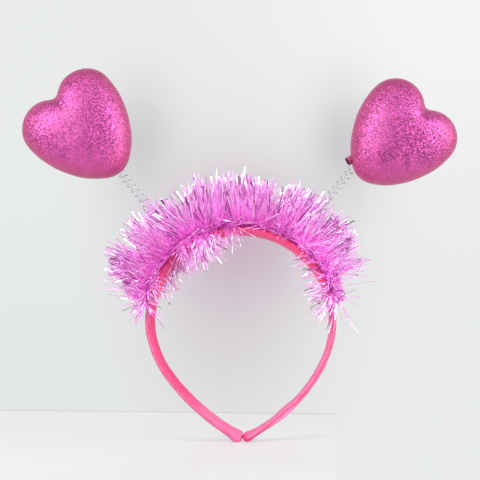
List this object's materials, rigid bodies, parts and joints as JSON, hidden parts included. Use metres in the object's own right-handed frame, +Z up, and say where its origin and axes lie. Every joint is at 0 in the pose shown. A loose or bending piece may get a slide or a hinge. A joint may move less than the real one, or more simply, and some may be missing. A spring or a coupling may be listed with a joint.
{
  "type": "novelty headband",
  "caption": "Satin-covered head band with a tinsel garland over the crown and puffy glittered hearts that bob on coil springs.",
  "frame": {"origin": "middle of the crown's inner face, where the band sits on a head", "axes": "+X to the right as worn in the picture, +Y to the back, +Z up"},
  "size_m": [0.2825, 0.0633, 0.2432],
  "materials": {
    "satin": "pink satin ribbon",
    "tinsel_film": "violet-pink metallised film",
    "spring_steel": "bright drawn wire",
    "glitter_skin": "magenta glitter over soft foam"
  },
  "bodies": {
    "band": {"covered_band": "satin", "tinsel_garland": "tinsel_film"},
    "left_stem": {"spring_left": "spring_steel"},
    "left_heart": {"heart_left": "glitter_skin"},
    "right_stem": {"spring_right": "spring_steel"},
    "right_heart": {"heart_right": "glitter_skin"}
  },
  "joints": [
    {"name": "left_sway", "type": "hinge", "parent": "band", "child": "left_stem", "pos_m": [-0.0521, 0, 0.0087], "axis": [0, 1, 0], "range_deg": [-28, 28], "stiffness_Nm_per_rad": 0.03, "springref_deg": 14.32, "deforming": ["spring_left"]},
    {"name": "left_nod", "type": "hinge", "parent": "left_stem", "child": "left_heart", "pos_m": [-0.0787, 0, 0.0414], "axis": [0.776, 0, 0.6307], "range_deg": [-22, 22], "stiffness_Nm_per_rad": 0.02, "deforming": ["spring_left"]},
    {"name": "right_sway", "type": "hinge", "parent": "band", "child": "right_stem", "pos_m": [0.0472, 0, 0.0124], "axis": [0, 1, 0], "range_deg": [-28, 28], "stiffness_Nm_per_rad": 0.03, "springref_deg": -14.32, "deforming": ["spring_right"]},
    {"name": "right_nod", "type": "hinge", "parent": "right_stem", "child": "right_heart", "pos_m": [0.0725, 0, 0.0434], "axis": [0.776, 0, -0.6307], "range_deg": [-22, 22], "stiffness_Nm_per_rad": 0.02, "deforming": ["spring_right"]}
  ]
}
